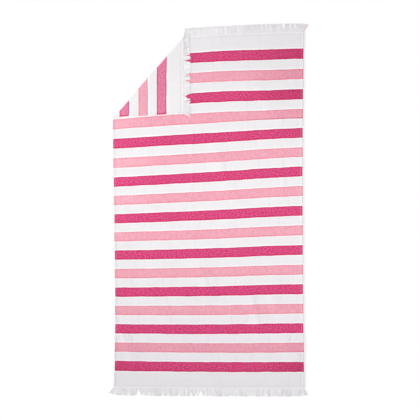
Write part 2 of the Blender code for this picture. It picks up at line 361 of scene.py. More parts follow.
def foldOver(place, thick):
    # the reverse side's point for a place on the flat cloth, and the way from
    # there to the face
    past = pastFold(place)
    along = (place - foldStart).dot(foldDirection)
    if past <= 0:
        low = (place + foldOutward * bowAt(along, -past)).to_3d()
        low.z = clothHeight(place)
        return low, Vector((0, 0, 1))
    radius = fold["rollRadius"]
    if past < rollArc:
        turn = past / radius
        over = foldStart + foldDirection * along + foldOutward * radius * math.sin(turn)
        bow = bowAt(along, 0)
        over += foldOutward * bow * (1 - past / rollArc)
        over.y += bow / foldOutward.y * past / rollArc
        over += cornerPull(over, place) * smooth(2 * past / rollArc - 1)
        point = over.to_3d()
        point.z = radius * (1 - math.cos(turn))
        inward = -foldOutward.to_3d() * math.sin(turn)
        inward.z = math.cos(turn)
        return point, inward
    beyond = past - rollArc
    over = foldStart + foldDirection * (along + foldShear * beyond)
    over -= foldOutward * foldStretch * beyond
    over.y += bowAt(along, beyond) / foldOutward.y
    over += cornerPull(over, place)
    flat = clothHeight(over) + towel["thick"] + fold["layerGap"] + thick
    flat += ridgeHeight(over, flapRidges)
    settled = smooth(beyond / fold["settle"])
    point = over.to_3d()
    point.z = 2 * radius * (1 - settled) + flat * settled
    return point, Vector((0, 0, -1))


relief = {
    "seamDip": 0.45 * mm,
    "seamWide": 0.9 * mm,
    "borderDip": 0.28 * mm,
    "borderWide": 1.0 * mm,
    "edgeRound": 1.5 * mm,
    "edgeThin": 0.35,  # the share of its thickness that an edge has left
    "hemBlur": 1.2 * mm,
    "headerBlur": 1.0 * mm,
    "headerPressed": 0.8,
    "pileUneven": 0.10 * mm,
    "pileSize": 9 * mm,
    "puckerDip": 0.2 * mm,  # for each step of strength
    "puckerWide": 5.0 * mm,
    "puckerEnd": 0.25,  # what is left of it at a border, and how soon it is full
    "puckerRise": 9,
    "turned": 22,  # how much shade is painted where the cloth turns over the fold, in the same steps
    "turnShadeAt": 0.6,  # and where on the roll, and how wide, as shares of it
    "turnShadeWide": 0.25,
}


def puckerAt(across, along):
    # how deep in a pucker a place is, in steps of strength
    inBand = (along - towel["plainEnd"]) / towel["stripe"]
    band = math.floor(inBand)
    share = inBand - band
    if inBand < 0:
        band, share = -1, along / towel["plainEnd"]
    elif inBand >= towel["bands"]:
        last = towel["length"] - along
        band, share = towel["bands"], 1 - last / towel["plainEnd"]
    deep = 0
    for start, lean, strength in puckers.get(band, ()):
        aside = across - (start + lean * share) * mm
        if abs(aside) < 3 * relief["puckerWide"]:
            deep += strength * bell(aside, 0, relief["puckerWide"])
    toEnd = min(share, 1 - share)
    return deep * smooth(toEnd * relief["puckerRise"] + relief["puckerEnd"])


def turnShadeAt(place):
    # painted shade where the cloth turns over the fold
    share = pastFold(place) / rollArc
    return relief["turned"] * bell(share, relief["turnShadeAt"], relief["turnShadeWide"])


def clothThick(across, along):
    # the cloth's thickness there, with its hems, headers, seams and stripe edges
    fromSide = min(across, towel["width"] - across)
    fromEnd = min(along, towel["length"] - along)
    inHem = 1 - smooth((fromSide - towel["hemWide"]) / relief["hemBlur"] + 0.5)
    thick = towel["thick"] + towel["hemExtra"] * inHem
    inHeader = 1 - smooth((fromEnd - towel["headerDeep"]) / relief["headerBlur"] + 0.5)
    thick += (towel["headerThick"] - thick) * inHeader * relief["headerPressed"]
    inBand = (along - towel["plainEnd"]) / towel["stripe"]
    border = min(max(round(inBand), 0), towel["bands"])
    toBorder = (inBand - border) * towel["stripe"]
    thick -= relief["borderDip"] * bell(toBorder, 0, relief["borderWide"])
    thick -= relief["seamDip"] * bell(fromSide, towel["seamIn"], relief["seamWide"])
    thick -= relief["seamDip"] * bell(fromEnd, towel["headerDeep"], relief["seamWide"])
    thick -= relief["puckerDip"] * puckerAt(across, along)
    pile = noise.noise(Vector((across, along, 0)) / relief["pileSize"])
    thick += relief["pileUneven"] * pile
    rounding = min(1, max(0, min(fromSide, fromEnd)) / relief["edgeRound"])
    full = math.sqrt(1 - (1 - rounding) ** 2)
    return thick * (relief["edgeThin"] + (1 - relief["edgeThin"]) * full)


def evenPlaces(first, last, cells):
    return [first + (last - first) * step / cells for step in range(cells + 1)]


def mirrored(places, length):
    return [length - place for place in reversed(places)]


def acrossPlaces():
    hem = [place * mm for place in towel["hemColumns"]]
    inside = evenPlaces(hem[-1], towel["width"] - hem[-1], towel["cellsAcross"])
    return hem[:-1] + inside + mirrored(hem[:-1], towel["width"])


def alongPlaces():
    header = [place * mm for place in towel["headerRows"]]
    beside = towel["besideBorder"]
    firstStripe = towel["plainEnd"]
    plain = evenPlaces(header[-1], firstStripe - beside, towel["cellsPlainEnd"])
    places = header[:-1] + plain
    for band in range(towel["bands"]):
        top = firstStripe + band * towel["stripe"]
        bottom = top + towel["stripe"]
        places.append(top)
        places += evenPlaces(top + beside, bottom - beside, towel["cellsPerBand"])
    places.append(towel["length"] - firstStripe)
    return places + mirrored(header[:-1] + plain, towel["length"])


def deselectAll():
    if bpy.context.object and bpy.context.object.mode != "OBJECT":
        bpy.ops.object.mode_set(mode="OBJECT")
    bpy.ops.object.select_all(action="DESELECT")


def pick(piece):
    deselectAll()
    piece.select_set(True)
    bpy.context.view_layer.objects.active = piece


def applyModifiers(piece):
    pick(piece)
    for modifier in list(piece.modifiers):
        bpy.ops.object.modifier_apply(modifier=modifier.name)


def flatPlaces(mesh):
    # each vertex's place on the flat cloth, from the UV map
    places = [None] * len(mesh.vertices)
    flat = mesh.uv_layers["flat"].data
    for loop in mesh.loops:
        places[loop.vertex_index] = tuple(flat[loop.index].uv)
    return places


def makeFlatGrid(across, along):
    # a grid laid out flat, with its UV map in metres of woven cloth
    deselectAll()
    columns, rows = len(across) - 1, len(along) - 1
    bpy.ops.mesh.primitive_grid_add(
        x_subdivisions=columns, y_subdivisions=rows, size=1, calc_uvs=False
    )
    grid = bpy.context.object
    mesh = grid.data
    places = []
    for vertex in mesh.vertices:
        column = round((vertex.co.x + 0.5) * columns)
        row = round((0.5 - vertex.co.y) * rows)
        places.append((across[column], along[row]))
        vertex.co = laidFlat(*places[-1]).to_3d()
    flat = mesh.uv_layers.new(name="flat")
    for loop in mesh.loops:
        flat.data[loop.index].uv = places[loop.vertex_index]
    return grid


def creaseAlongFold(grid):
    # rows of edges along the fold, so that the mesh can turn over there
    steps = [rollArc * n / fold["rollCells"] for n in range(fold["rollCells"] + 1)]
    settleStep = fold["settle"] / fold["settleCells"]
    steps += [rollArc + settleStep * (n + 1) for n in range(fold["settleCells"])]
    pick(grid)
    bpy.ops.object.mode_set(mode="EDIT")
    for past in steps:
        bpy.ops.mesh.select_all(action="SELECT")
        bpy.ops.mesh.bisect(
            plane_co=(foldStart + foldOutward * past).to_3d(),
            plane_no=foldOutward.to_3d(),
            threshold=0.03 * mm,
        )
    bpy.ops.object.mode_set(mode="OBJECT")


def makeTowel(faceMaterial, reverseMaterial):
    # the whole cloth, from header to header, over the reverse side's surface
    sheet = makeFlatGrid(acrossPlaces(), alongPlaces())
    sheet.name = "towelSheet"
    creaseAlongFold(sheet)
    mesh = sheet.data
    fullest = towel["thick"] + towel["hemExtra"] + relief["pileUneven"]
    fullness = sheet.vertex_groups.new(name="fullness")
    places = flatPlaces(mesh)
    for vertex, place in zip(mesh.vertices, places):
        thick = clothThick(*place)
        fullness.add([vertex.index], thick / fullest, "REPLACE")
        vertex.co = foldOver(vertex.co.to_2d(), thick)[0]
    # painted shade in the puckers and where the cloth turns over the fold, in steps, for the
    # materials to read
    paintedCreaseShade = mesh.attributes.new("paintedCreaseShade", "FLOAT", "POINT")
    shadeSteps = [puckerAt(*place) + turnShadeAt(laidFlat(*place)) for place in places]
    paintedCreaseShade.data.foreach_set("value", shadeSteps)
    mesh.materials.append(faceMaterial)
    mesh.materials.append(reverseMaterial)
    body = sheet.modifiers.new("body", "SOLIDIFY")
    body.thickness = fullest
    body.offset = 1
    body.vertex_group = "fullness"
    body.material_offset = 1
    applyModifiers(sheet)
    bpy.ops.object.shade_smooth()
    return sheet


def toLinear(red, green, blue):
    channels = []
    for value in (red, green, blue):
        share = value / 255
        high = ((share + 0.055) / 1.055) ** 2.4
        channels.append(high if share > 0.04045 else share / 12.92)
    return (*channels, 1)


def fill(tree, inputs, given):
    # links or plain values into a node's inputs, by their names or numbers
    for name, value in dict(given).items():
        if isinstance(value, bpy.types.NodeSocket):
            tree.links.new(value, inputs[name])
        else:
            inputs[name].default_value = value


def addNode(tree, kind, given=(), **settings):
    node = tree.nodes.new(kind)
    for name, value in settings.items():
        setattr(node, name, value)
    fill(tree, node.inputs, given)
    return node.outputs


def calc(tree, operation, *values, clamp=False):
    settings = {"operation": operation, "use_clamp": clamp}
    return addNode(tree, "ShaderNodeMath", enumerate(values), **settings)[0]


def plus(tree, first, second):
    return calc(tree, "ADD", first, second)


def minus(tree, first, second):
    return calc(tree, "SUBTRACT", first, second)


def times(tree, first, second):
    return calc(tree, "MULTIPLY", first, second)


def ramp(tree, value, low, high, toLow=0.0, toHigh=1.0):
    # value from low to high becomes toLow to toHigh, smoothly
    names = ("Value", "From Min", "From Max", "To Min", "To Max")
    given = zip(names, (value, low, high, toLow, toHigh))
    made = addNode(tree, "ShaderNodeMapRange", given, interpolation_type="SMOOTHSTEP")
    return made["Result"]


def fallAway(tree, value, low, high):
    # 1 up to low, 0 from high
    return ramp(tree, value, low, high, 1.0, 0.0)


def mixColour(tree, share, first, second, way="MIX"):
    given = {"Factor": share, 6: first, 7: second}
    return addNode(tree, "ShaderNodeMix", given, data_type="RGBA", blend_type=way)[2]


def joinColour(tree, *channels):
    return addNode(tree, "ShaderNodeCombineColor", enumerate(channels))[0]


def splitPlace(tree, place):
    return addNode(tree, "ShaderNodeSeparateXYZ", {0: place})


def stretched(tree, place, across, along, up=1.0):
    given = {"Vector": place, "Scale": (across, along, up)}
    return addNode(tree, "ShaderNodeMapping", given)["Vector"]


def noiseOf(tree, place, across, along, detail=2.0, up=1.0):
    # noise with so many cells for each metre across, along and up
    place = stretched(tree, place, across, along, up)
    given = {"Vector": place, "Scale": 1, "Detail": detail}
    return addNode(tree, "ShaderNodeTexNoise", given)["Fac"]


def newGroup(name, numbers, results):
    # a node group that takes a place and numbers, and gives numbers
    group = bpy.data.node_groups.new(name, "ShaderNodeTree")
    group.interface.new_socket("Place", in_out="INPUT", socket_type="NodeSocketVector")
    for way, sockets in (("INPUT", numbers), ("OUTPUT", results)):
        for socket in sockets:
            group.interface.new_socket(socket, in_out=way, socket_type="NodeSocketFloat")
    given = group.nodes.new("NodeGroupInput").outputs
    made = group.nodes.new("NodeGroupOutput").inputs
    return group, given, made


def useGroup(tree, group, **values):
    return addNode(tree, "ShaderNodeGroup", values, node_tree=group)


# The weave and its dyeing. Noise is given by its cells for each metre across and
# along, and its detail.
weaving = {
    "wander": (17, 21.5, 1.0),  # a stripe's border wanders slowly, by so much
    "wanderBy": 4.0 * mm,
    "ragged": (160, 30, 2.0),  # and is ragged
    "raggedBy": 1.8 * mm,
    "borderBlur": 0.35 * mm,
    "fullestReach": 9 * mm,  # the dye is fullest so near to a border
    "fullestDown": 0.9 * mm,  # and this much further down, at a lower border
    "fleckBroad": (150, 185, 3.0),
    "fleckFine": (420, 700, 2.0),
    "fineShare": 0.3,
    "crinkle": (150, 45, 2.0),
    "cloud": (9, 14, 3.0),
    "weaveWaver": (240, 240),
    "weaveWaverBy": 2.2,
    "pickHigh": 0.18,
    "crossHigh": 0.32,
    "loopSmooth": 0.35,
    "loopLong": 0.8,
}


def makeStripeGroup():
    # which band a place of the flat cloth is in, counted from the top header
    results = ("Stripe", "Strong", "BorderInside", "BorderOutside")
    group, given, made = newGroup("wovenStripes", (), results)
    along = splitPlace(group, given["Place"])["Y"]
    for name in ("wander", "ragged"):
        waver = noiseOf(group, given["Place"], *weaving[name])
        most = weaving[name + "By"]
        along = plus(group, along, calc(group, "MULTIPLY_ADD", waver, most, -most / 2))
    inBand = minus(group, along, towel["plainEnd"])
    inBand = calc(group, "DIVIDE", inBand, towel["stripe"])
    pastFirst = calc(group, "GREATER_THAN", inBand, -0.6)
    beforeLast = calc(group, "LESS_THAN", inBand, towel["bands"] + 0.6)
    inside = times(group, pastFirst, beforeLast)

    def zigzag(shift, top):
        return calc(group, "PINGPONG", plus(group, inBand, shift), top)

    # how far from a stripe's middle, in bands: its edge is at one half
    toMiddle = minus(group, 1.0, zigzag(4.5, 1.0))
    blur = weaving["borderBlur"] / towel["stripe"]
    edge = 0.5 + towel["stripeSpread"] / towel["stripe"]
    stripe = times(group, fallAway(group, toMiddle, edge - blur, edge + blur), inside)
    strong = calc(group, "LESS_THAN", zigzag(3.5, 2.0), 1.0)
    # the dye is fullest at the borders, most of all at a stripe's lower one
    down = weaving["fullestDown"] / towel["stripe"]
    toBorder = minus(group, 1.0 - edge, zigzag(4.5 + down, 1.0))
    fromBorder = calc(group, "ABSOLUTE", toBorder)
    reach = weaving["fullestReach"] / towel["stripe"]
    border = times(group, fallAway(group, fromBorder, 0.0, reach), inside)
    within = times(group, border, stripe)
    without = minus(group, border, within)
    fill(group, made, zip(results, (stripe, strong, within, without)))
    return group


def makeYarnGroup():
    # uneven dyed yarn: a coarse fleck with a finer one, crinkles and slow clouds
    group, given, made = newGroup("unevenYarn", (), ("Fleck", "Crinkle", "Cloud"))

    def noiseBy(name):
        return noiseOf(group, given["Place"], *weaving[name])

    fineShare = weaving["fineShare"]
    broad = times(group, noiseBy("fleckBroad"), 1 - fineShare)
    fleck = plus(group, broad, times(group, noiseBy("fleckFine"), fineShare))
    results = {
        "Fleck": ramp(group, fleck, 0.375, 0.625),
        "Crinkle": ramp(group, noiseBy("crinkle"), 0.34, 0.66),
        "Cloud": ramp(group, noiseBy("cloud"), 0.3, 0.7),
    }
    fill(group, made, results)
    return group


def makeWeaveGroup():
    # flat weave: rows of picks across and ends along, in small steps
    group, given, made = newGroup("flatWeave", ("Pick", "End"), ("Height",))
    spot = splitPlace(group, given["Place"])
    waver = noiseOf(group, given["Place"], *weaving["weaveWaver"])
    waver = times(group, waver, weaving["weaveWaverBy"])
    waves = []
    for axis, pitch in (("X", "End"), ("Y", "Pick")):
        turns = calc(group, "DIVIDE", spot[axis], given[pitch])
        angle = calc(group, "MULTIPLY_ADD", turns, 2 * math.pi, waver)
        waves.append(calc(group, "SINE", angle))
    both = times(group, waves[0], waves[1])
    height = calc(group, "MULTIPLY_ADD", both, weaving["crossHigh"], 0.5)
    height = calc(group, "MULTIPLY_ADD", waves[1], weaving["pickHigh"], height)
    fill(group, made, {"Height": height})
    return group


def makeLoopGroup():
    # terry: small loops packed side by side, with painted shade between them
    group, given, made = newGroup("terryLoops", ("Loop",), ("Height", "Shade"))
    shape = {
        "Vector": stretched(group, given["Place"], 1.0, weaving["loopLong"]),
        "Scale": calc(group, "DIVIDE", 1.0, given["Loop"]),
        "Smoothness": weaving["loopSmooth"],
    }
    loops = addNode(group, "ShaderNodeTexVoronoi", shape, feature="SMOOTH_F1")
    height = minus(group, 1.0, loops["Distance"])
    fill(group, made, {"Height": height, "Shade": ramp(group, height, 0.25, 0.75)})
    return group


def makeEdgeGroup():
    # how far a place is from the nearer selvedge and the nearer end
    group, given, made = newGroup("clothEdges", (), ("FromSide", "FromEnd"))
    spot = splitPlace(group, given["Place"])
    for axis, size, name in (("X", "width", "FromSide"), ("Y", "length", "FromEnd")):
        other = minus(group, towel[size], spot[axis])
        fill(group, made, {name: calc(group, "MINIMUM", spot[axis], other)})
    return group


clothGroups = {
    "stripes": makeStripeGroup(),
    "yarn": makeYarnGroup(),
    "weave": makeWeaveGroup(),
    "loops": makeLoopGroup(),
    "edges": makeEdgeGroup(),
}

# The colours, as red, green and blue of 255
colours = {
    "white": (238, 236.6, 237.8),
    "besideStripe": (246, 251, 250),
    "headerWhite": (243, 241.6, 242.8),
    "reverseWhite": (240, 238, 239),
    "strong": (203, 29, 93),
    "strongPale": (226, 97, 148),
    "light": (236, 151, 170),
    "lightPale": (243, 183, 196),
    "reverseStrong": (216, 96, 137),
    "reverseStrongPale": (232, 148, 176),
    "reverseLight": (236, 152, 171),
    "reverseLightPale": (242, 183, 197),
    # one white yarn in three copies, bright to shaded: besides random tones they paint shade
    # between the locks and light and shade along the fringes
    "yarnBright": (255, 254, 255),
    "yarnMiddle": (249, 248, 250),
    "yarnShaded": (242, 240, 243),
    "thread": (226, 223, 227),
    "selvedgePink": (224, 164, 184),
}
dyes = {name: toLinear(*colour) for name, colour in colours.items()}
faceDyes = ("white", "strong", "strongPale", "light", "lightPale")
reverseDyes = (
    "reverseWhite",
    "reverseStrong",
    "reverseStrongPale",
    "reverseLight",
    "reverseLightPale",
)

# Painted light and shade in patches, lighter at the left, darker at the top right, the bottom
# corners
# and two lower bands: the place on the flat cloth, how far the patch reaches across and along,
# and how much darker (below 0, lighter)
paintedLightColumns = ("across", "along", "reachAcross", "reachAlong", "shadeBy")
paintedLightRows = (
    (-60, 600, 330, 560, -1.1),
    (980, 200, 430, 420, 1.3),
    (960, 1640, 300, 240, 1.3),
    (-60, 1620, 380, 240, 0.5),
    (450, 1500, 1400, 75, 0.4),
    (450, 1607, 1400, 60, 0.2),
)

# How strong each mark on the cloth is, where it is and how wide. One number is
# the share of the light that it takes. Where there are three, the first is the
# share of the green light, and the others say how much of that red and blue lose.
looks = {
    # painted shade from the patches, once more on the strong stripes
    "strongPaintedShade": (0.14, 0.6, 0.75),
    "strongBorder": (0.7, 0.1, 0.5),
    "lightBorder": (0.32, 0.08, 0.9),
    # painted light and shade from the patches, on the stripes
    "paintedFalloff": (0.2, 0.45, 0.75),
    "hemDye": (0.16, 0.3, 0.75),
    # painted light and shade from the patches, on the whites
    "whitePaintedFalloff": 0.02,
    "whiteCrinkle": 0.012,
    "lowerPaintedTint": (1.028, 1.008, 1.028, 1),  # a painted lilac tint of the light on the shaded lower whites
    "lowerFrom": (1150 * mm, 1420 * mm),
    "lowerTo": (1600 * mm, 1635 * mm),
    # painted shade for each step in the puckers and on the fold's turn
    "paintedCreaseStep": 0.009,
    "pressedAt": 401 * mm,
    "pressedWide": 4 * mm,
    "pressedFrom": (520 * mm, 800 * mm),
    # painted shade in the pressed crease
    "pressedCreaseShade": 0.3,
    "deepSeamAt": 16.4 * mm,  # at the right ends the hem is sewn deeper
    "deepSeamWide": 3 * mm,
    "deepSeamRight": (600 * mm, 610 * mm),
    "deepSeamAbove": (40 * mm, 90 * mm),
    "deepSeamBelow": (1410 * mm, 1500 * mm),
    "deepSeam": 0.14,
    "hemDyeFrom": (5 * mm, 9 * mm),
    "turnedHem": (8.6 * mm, 9.6 * mm),
    # painted shade on the hem's inner slope, on the whites
    "hemSlopeShadeWide": 1.8 * mm,
    "hemSlopeShade": 0.05,
    # painted shade on the rounded outer edge of both selvedges
    "selvedgeWide": 3.5 * mm,
    "selvedge": 0.1,
    "headerFrom": (7 * mm, 8.6 * mm),
    "faceEndSeam": (2.4 * mm, 0.09),
    "reverseEndSeam": (2.2 * mm, 0.03),
    "reverseSideSeam": (1.6 * mm, 0.06),
    "cloud": 0.02,
    "pick": 1.3 * mm,
    "end": 1.5 * mm,
    "loop": 2.1 * mm,
    # painted shade between the terry loops
    "betweenLoopsShade": 0.04,
    "faceFleckHigh": 0.4,
    "faceBump": (0.25 * mm, 0.5),  # how high, and how strong
    "reverseFleckHigh": 0.25,
    "reverseBump": (0.45 * mm, 0.45),
    "fibre": (900, 900, 3.0, 900),
    "fibreShade": 0.04,
    "fibreBump": (0.2 * mm, 0.6),
    "yarnCloud": (60, 60, 2.0, 60),
    "yarnCloudShade": 0.03,
    "ply": (1600, 1600, 1.0, 1600),
    "plyBump": (0.1 * mm, 0.5),
}


def newMaterial(name, roughness, sheen=0.0, sheenRoughness=0.5):
    material = bpy.data.materials.new(name)
    material.use_nodes = True
    tree = material.node_tree
    shader = tree.nodes["Principled BSDF"]
    names = ("Roughness", "Specular IOR Level", "Sheen Weight", "Sheen Roughness")
    fill(tree, shader.inputs, zip(names, (roughness, 0.25, sheen, sheenRoughness)))
    return material, tree, shader


def deepen(tree, colour, amount, strength, redShare=1.0, blueShare=1.0):
    # darker by strength where amount is 1, with less of that for red and blue
    parts = []
    for share in (redShare, 1.0, blueShare):
        parts.append(calc(tree, "MULTIPLY_ADD", amount, -strength * share, 1.0))
    return mixColour(tree, 1.0, colour, joinColour(tree, *parts), "MULTIPLY")


def paintedLightPatches(tree, place):
    # painted light and shade: how much darker the patches make this place, below 0 lighter
    total = 0.0
    for row in paintedLightRows:
        patch = dict(zip(paintedLightColumns, row))
        given = {
            "Vector": place,
            "Location": (patch["across"] * mm, patch["along"] * mm, 0),
            "Scale": (patch["reachAcross"] * mm, patch["reachAlong"] * mm, 1),
        }
        spot = addNode(tree, "ShaderNodeMapping", given, vector_type="TEXTURE")[0]
        away = addNode(tree, "ShaderNodeVectorMath", {0: spot}, operation="LENGTH")
        near = ramp(tree, away["Value"], 0.0, 1.0, patch["shadeBy"], 0.0)
        total = plus(tree, near, total)
    return total


def lowerWhites(tree, place):
    # 1 between the lower stripes, where a lilac tint of light is painted
    along = splitPlace(tree, place)["Y"]
    begins = ramp(tree, along, *looks["lowerFrom"])
    return times(tree, begins, fallAway(tree, along, *looks["lowerTo"]))


def stripeColour(tree, place, white, strong, strongPale, light, lightPale):
    bands = useGroup(tree, clothGroups["stripes"], Place=place)
    yarn = useGroup(tree, clothGroups["yarn"], Place=place)
    # painted light and shade from the patches: on the stripes, its darker part once more on the
    # strong ones, and a little on the whites
    paintedFalloff = paintedLightPatches(tree, place)
    paintedDarkening = calc(tree, "MAXIMUM", paintedFalloff, 0.0)
    atBorder = bands["BorderInside"]
    strongYarn = mixColour(tree, yarn["Fleck"], dyes[strong], dyes[strongPale])
    strongYarn = deepen(tree, strongYarn, paintedDarkening, *looks["strongPaintedShade"])
    strongYarn = deepen(tree, strongYarn, atBorder, *looks["strongBorder"])
    uneven = times(tree, plus(tree, yarn["Fleck"], yarn["Crinkle"]), 0.5)
    lightYarn = mixColour(tree, uneven, dyes[light], dyes[lightPale])
    lightYarn = deepen(tree, lightYarn, atBorder, *looks["lightBorder"])
    dyed = mixColour(tree, bands["Strong"], lightYarn, strongYarn)
    dyed = deepen(tree, dyed, paintedFalloff, *looks["paintedFalloff"])
    plain = mixColour(tree, bands["BorderOutside"], dyes[white], dyes["besideStripe"])
    plain = deepen(tree, plain, paintedFalloff, looks["whitePaintedFalloff"])
    # a painted lilac tint of the light on the shaded whites between the lower stripes
    lower = lowerWhites(tree, place)
    plain = mixColour(tree, lower, plain, looks["lowerPaintedTint"], "MULTIPLY")
    plain = deepen(tree, plain, yarn["Crinkle"], looks["whiteCrinkle"])
    return mixColour(tree, bands["Stripe"], plain, dyed), bands, yarn


def addBump(tree, shader, height, distance, strength):
    given = {"Height": height, "Distance": distance, "Strength": strength}
    bump = addNode(tree, "ShaderNodeBump", given)
    fill(tree, shader.inputs, {"Normal": bump["Normal"]})


def seamLook(tree, distance, seamAt, wide):
    # 1 on a seam at that distance, 0 beside it
    away = calc(tree, "ABSOLUTE", minus(tree, distance, seamAt))
    return fallAway(tree, away, 0.0, wide)


def flatPlace(tree):
    return addNode(tree, "ShaderNodeUVMap", uv_map="flat")["UV"]


def pressedCrease(tree, place):
    # 1 on the crease that runs in from the right under one light stripe, where shade is painted
    spot = splitPlace(tree, place)
    line = seamLook(tree, spot["Y"], looks["pressedAt"], looks["pressedWide"])
    return times(tree, line, ramp(tree, spot["X"], *looks["pressedFrom"]))


def deeperSeam(tree, place, fromSide):
    # 1 on the hem's seam at the right side near the two ends
    spot = splitPlace(tree, place)
    atRight = ramp(tree, spot["X"], *looks["deepSeamRight"])
    atTop = fallAway(tree, spot["Y"], *looks["deepSeamAbove"])
    atBottom = ramp(tree, spot["Y"], *looks["deepSeamBelow"])
    there = times(tree, atRight, plus(tree, atTop, atBottom))
    seam = seamLook(tree, fromSide, looks["deepSeamAt"], looks["deepSeamWide"])
    return times(tree, seam, there)


def addHeader(tree, colour, fromEnd, seamWide, seamShade):
    inHeader = fallAway(tree, fromEnd, *looks["headerFrom"])
    colour = mixColour(tree, inHeader, colour, dyes["headerWhite"])
    seam = seamLook(tree, fromEnd, towel["headerDeep"], seamWide)
    return deepen(tree, colour, seam, seamShade), inHeader


def addPaintedCreaseShade(tree, colour):
    # painted shade in the puckers and on the turn over the fold
    paintedCreaseShade = addNode(tree, "ShaderNodeAttribute", attribute_name="paintedCreaseShade")["Fac"]
    return deepen(tree, colour, paintedCreaseShade, looks["paintedCreaseStep"])


def makeFaceMaterial():
    material, tree, shader = newMaterial("towelFace", 0.92, 0.08, 0.6)
    place = flatPlace(tree)
    colour, bands, yarn = stripeColour(tree, place, *faceDyes)
    edges = useGroup(tree, clothGroups["edges"], Place=place)
    fromSide = edges["FromSide"]
    hem = times(tree, fallAway(tree, fromSide, *looks["hemDyeFrom"]), bands["Stripe"])
    colour = deepen(tree, colour, hem, *looks["hemDye"])
    notStripe = minus(tree, 1.0, bands["Stripe"])
    # painted shade where the hem's inner edge slopes down, on the whites
    hemSlopeShade = seamLook(tree, fromSide, towel["hemWide"], looks["hemSlopeShadeWide"])
    colour = deepen(tree, colour, times(tree, hemSlopeShade, notStripe), looks["hemSlopeShade"])
    deepSeam = times(tree, deeperSeam(tree, place, fromSide), notStripe)
    colour = deepen(tree, colour, deepSeam, looks["deepSeam"])
    # painted shade in the pressed crease
    colour = deepen(tree, colour, pressedCrease(tree, place), looks["pressedCreaseShade"])
    # painted shade on the rounded outer edge of both selvedges
    selvedge = fallAway(tree, fromSide, 0.0, looks["selvedgeWide"])
    colour = deepen(tree, colour, selvedge, looks["selvedge"])
    colour = addHeader(tree, colour, edges["FromEnd"], *looks["faceEndSeam"])[0]
    colour = deepen(tree, colour, yarn["Cloud"], looks["cloud"])
    fill(tree, shader.inputs, {"Base Color": addPaintedCreaseShade(tree, colour)})
    rows = {"Pick": looks["pick"], "End": looks["end"]}
    weave = useGroup(tree, clothGroups["weave"], Place=place, **rows)
    fleckHigh = times(tree, yarn["Fleck"], looks["faceFleckHigh"])
    height = plus(tree, fleckHigh, weave["Height"])
    addBump(tree, shader, height, *looks["faceBump"])
    return material


def makeReverseMaterial():
    material, tree, shader = newMaterial("towelReverse", 0.95, 0.12, 0.6)
    place = flatPlace(tree)
    paler, bands, yarn = stripeColour(tree, place, *reverseDyes)
    turned = stripeColour(tree, place, *faceDyes)[0]
    edges = useGroup(tree, clothGroups["edges"], Place=place)
    inHem = fallAway(tree, edges["FromSide"], *looks["turnedHem"])
    colour = mixColour(tree, inHem, paler, turned)
    loops = useGroup(tree, clothGroups["loops"], Place=place, Loop=looks["loop"])
    # painted shade between the loops, outside the hem
    loopShade = times(tree, minus(tree, 1.0, loops["Shade"]), minus(tree, 1.0, inHem))
    colour = deepen(tree, colour, loopShade, looks["betweenLoopsShade"])
    seamWide, seamShade = looks["reverseSideSeam"]
    sideSeam = seamLook(tree, edges["FromSide"], towel["seamIn"], seamWide)
    colour = deepen(tree, colour, sideSeam, seamShade)
    endSeam = looks["reverseEndSeam"]
    colour, inHeader = addHeader(tree, colour, edges["FromEnd"], *endSeam)
    fill(tree, shader.inputs, {"Base Color": addPaintedCreaseShade(tree, colour)})
    pile = minus(tree, 1.0, calc(tree, "MAXIMUM", inHem, inHeader))
    fleckHigh = times(tree, yarn["Fleck"], looks["reverseFleckHigh"])
    height = plus(tree, fleckHigh, times(tree, loops["Height"], pile))
    addBump(tree, shader, height, *looks["reverseBump"])
    return material


def makeYarnMaterial(name, dye):
    material, tree, shader = newMaterial(name, 0.9, 0.2)
    where = addNode(tree, "ShaderNodeTexCoord")["Object"]
    fibre = noiseOf(tree, where, *looks["fibre"])
    cloud = noiseOf(tree, where, *looks["yarnCloud"])
    colour = deepen(tree, dyes[dye], ramp(tree, fibre, 0.3, 0.7), looks["fibreShade"])
    clouded = ramp(tree, cloud, 0.35, 0.7)
    colour = deepen(tree, colour, clouded, looks["yarnCloudShade"])
    fill(tree, shader.inputs, {"Base Color": colour})
    addBump(tree, shader, fibre, *looks["fibreBump"])
    return material


def makeThreadMaterial():
    material, tree, shader = newMaterial("sewingThread", 0.7)
    where = addNode(tree, "ShaderNodeTexCoord")["Object"]
    ply = noiseOf(tree, where, *looks["ply"])
    colour = mixColour(tree, ramp(tree, ply, 0.35, 0.65), dyes["thread"], dyes["white"])
    fill(tree, shader.inputs, {"Base Color": colour})
    addBump(tree, shader, ply, *looks["plyBump"])
    return material


fringe = {
    "yarnRadius": 0.55 * mm,
    "yarnThickness": (0.8, 1.15),
    "pitch": 0.68 * mm,
    "rootScatter": 0.3,  # as a share of the pitch
    "tipScatter": 0.45 * mm,
    "lengthSpread": 0.6 * mm,
    "rootInside": 1.6 * mm,
    "layers": (0.55 * mm, 0.9 * mm),
    "layerScatter": 0.2 * mm,
    "curl": 1 * mm,
    "clump": (9 * mm, 28 * mm),
    "clumpDraw": 0.92,
    "clumpHigh": 0.55 * mm,  # a lock's middle lies this much above its sides
    "clumpLonger": 1.3 * mm,
    "paleClumps": 0.55,  # the share of locks that are bright
    "shadedFrom": (0.6, 1.2),  # how far out in a lock its yarns take the painted shade
    "oddTones": 0.2,  # the share of yarns that take any tone
    "slowLean": 2.5 * mm,
    "slowEvery": 150 * mm,
    "waver": 0.6 * mm,
    "partedShorter": 0.6,  # a yarn pushed aside ends so much sooner
    "mostAside": 0.8,  # as a share of its length
    "partFrom": 0.3,  # where on a yarn a gap begins
    "settle": 1.8,  # how soon a yarn comes down from the header
    "fan": (3, 80),  # degrees, on the fold's roll
    "fanHigh": 0.6 * mm,
    "points": 8,
}

